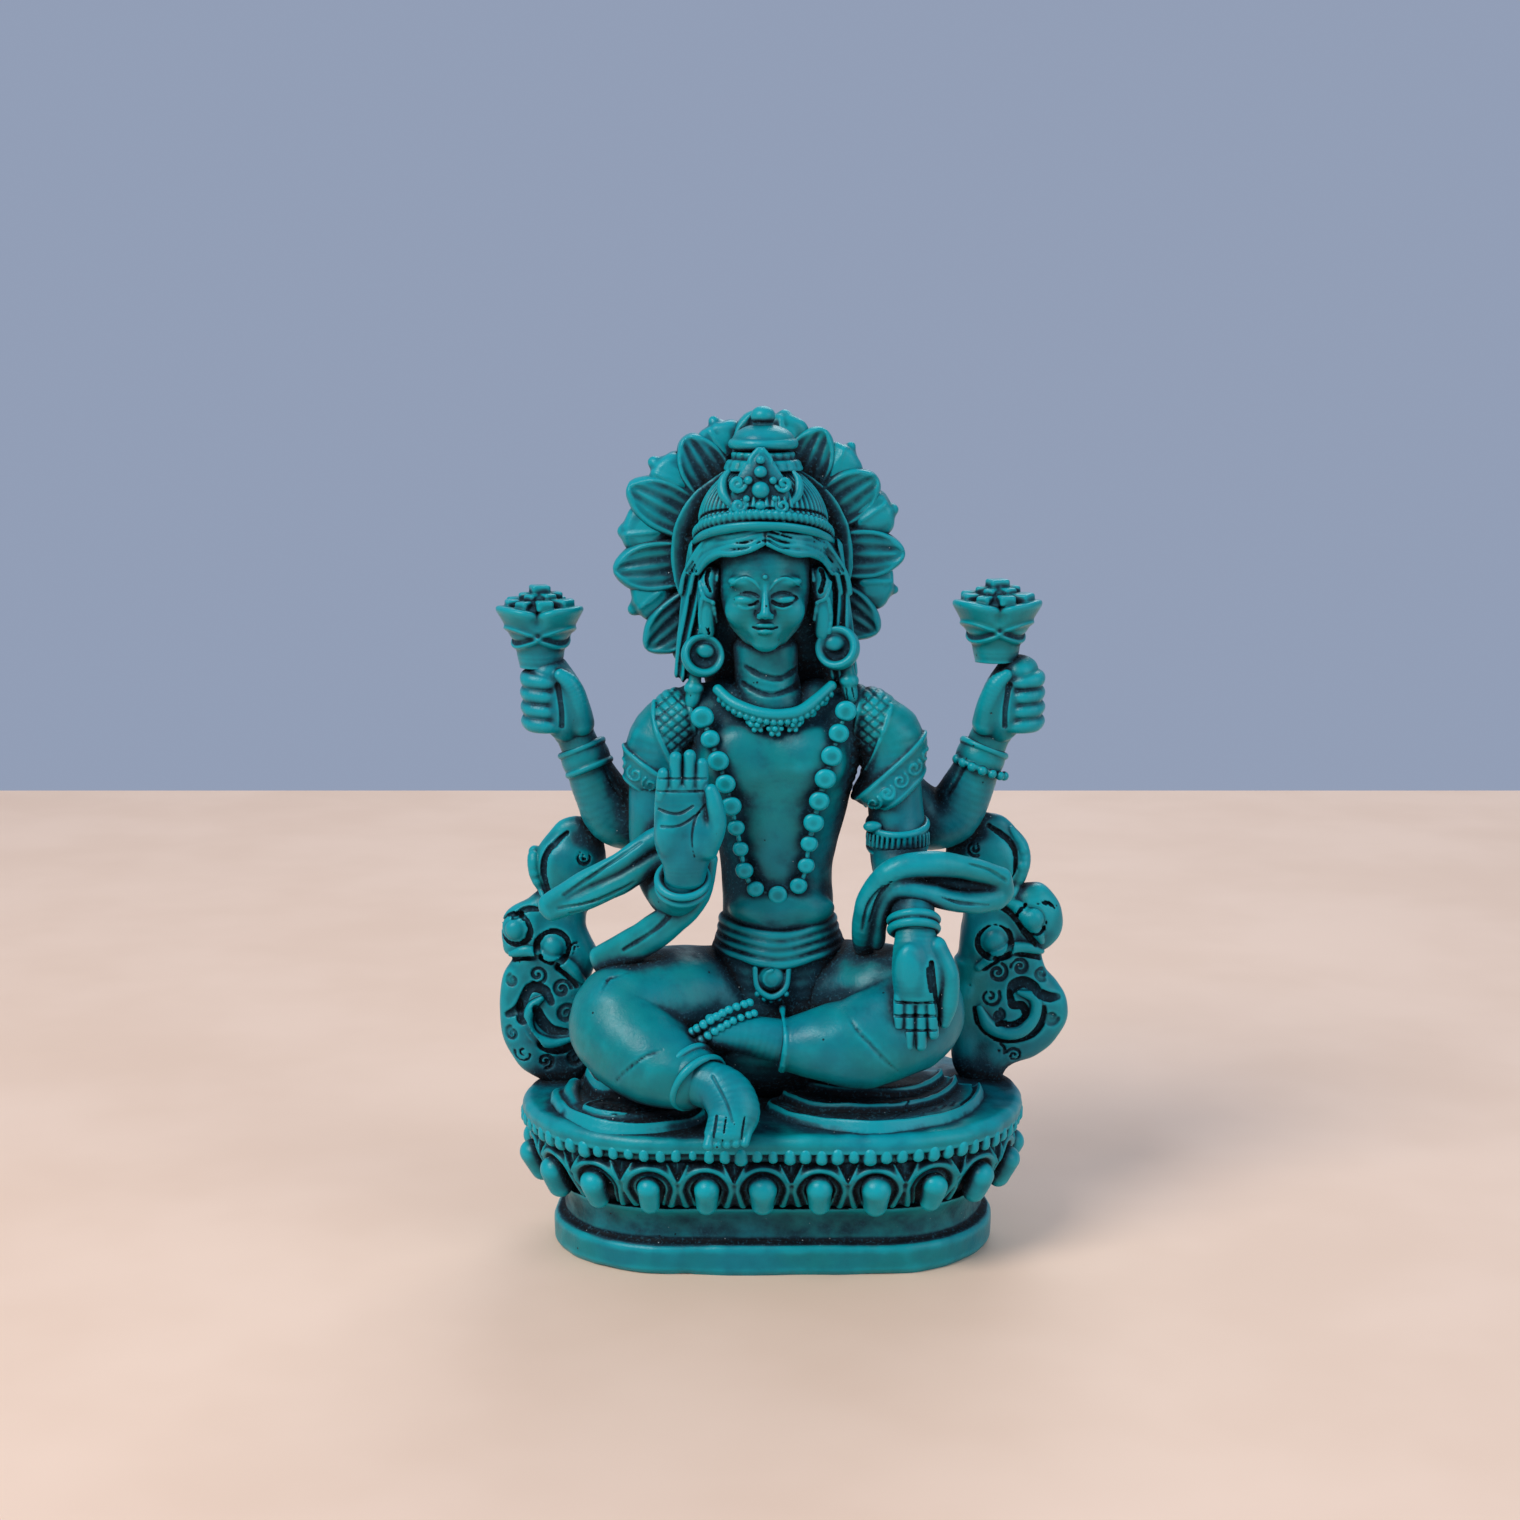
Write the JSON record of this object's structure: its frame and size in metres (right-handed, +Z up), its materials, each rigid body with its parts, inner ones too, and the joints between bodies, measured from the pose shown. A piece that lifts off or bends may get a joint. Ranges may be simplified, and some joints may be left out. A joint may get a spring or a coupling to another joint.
{
  "type": "hindu deity statue",
  "caption": "Cast resin statuette of a seated four-armed deity on an oval lotus throne, with a petal halo, side scrolls, raised and lowered hands and two lotus flowers",
  "frame": {"origin": "the middle of the base's flat underside", "axes": "+Z up; the figure faces -Y; +X is to the right of a viewer who faces the statue"},
  "size_m": [0.0979, 0.0596, 0.14],
  "materials": {
    "turquoise_resin": "cast resin, turquoise with a dark wash in the recesses, satin with pinholes",
    "turquoise_resin_relief": "cast resin, rubbed lighter on raised beads, satin",
    "turquoise_resin_recess": "cast resin, mostly dark antique wash, matt"
  },
  "bodies": {
    "root": {"plinth": "turquoise_resin", "lotus_drum": "turquoise_resin_recess", "lotus_petals": "turquoise_resin", "petal_bosses": "turquoise_resin_relief", "seat": "turquoise_resin", "rim_beads": "turquoise_resin_relief", "right_hem": "turquoise_resin", "left_hem": "turquoise_resin", "hips": "turquoise_resin", "right_leg": "turquoise_resin", "left_leg": "turquoise_resin", "right_foot": "turquoise_resin", "left_foot": "turquoise_resin", "right_ankle_cuff": "turquoise_resin", "left_anklet": "turquoise_resin_relief", "belt": "turquoise_resin", "belt_pendant": "turquoise_resin", "torso": "turquoise_resin", "neck": "turquoise_resin", "head": "turquoise_resin", "ears": "turquoise_resin", "hair": "turquoise_resin", "headband": "turquoise_resin", "crown_cap": "turquoise_resin", "crown_ornament": "turquoise_resin", "crown_tiers": "turquoise_resin", "crown_umbrella": "turquoise_resin", "crown_knob": "turquoise_resin", "earrings": "turquoise_resin", "collar_necklace": "turquoise_resin", "necklace_rosettes": "turquoise_resin_relief", "bead_garland": "turquoise_resin_relief", "right_sleeve": "turquoise_resin", "left_sleeve": "turquoise_resin", "right_arm": "turquoise_resin", "left_arm": "turquoise_resin", "raised_hand": "turquoise_resin", "lowered_hand": "turquoise_resin", "right_bracelet": "turquoise_resin", "left_bracelet": "turquoise_resin", "left_armlet": "turquoise_resin", "rear_right_arm": "turquoise_resin", "rear_left_arm": "turquoise_resin", "rear_right_fist": "turquoise_resin", "rear_left_fist": "turquoise_resin", "rear_right_bracelet": "turquoise_resin", "rear_left_bracelet": "turquoise_resin", "right_lotus": "turquoise_resin", "left_lotus": "turquoise_resin", "halo_disc": "turquoise_resin_recess", "halo_rim": "turquoise_resin", "halo_ribbed_petals": "turquoise_resin", "halo_round_petals": "turquoise_resin", "right_scroll": "turquoise_resin", "left_scroll": "turquoise_resin", "right_shawl": "turquoise_resin", "left_shawl": "turquoise_resin"}
  },
  "joints": []
}
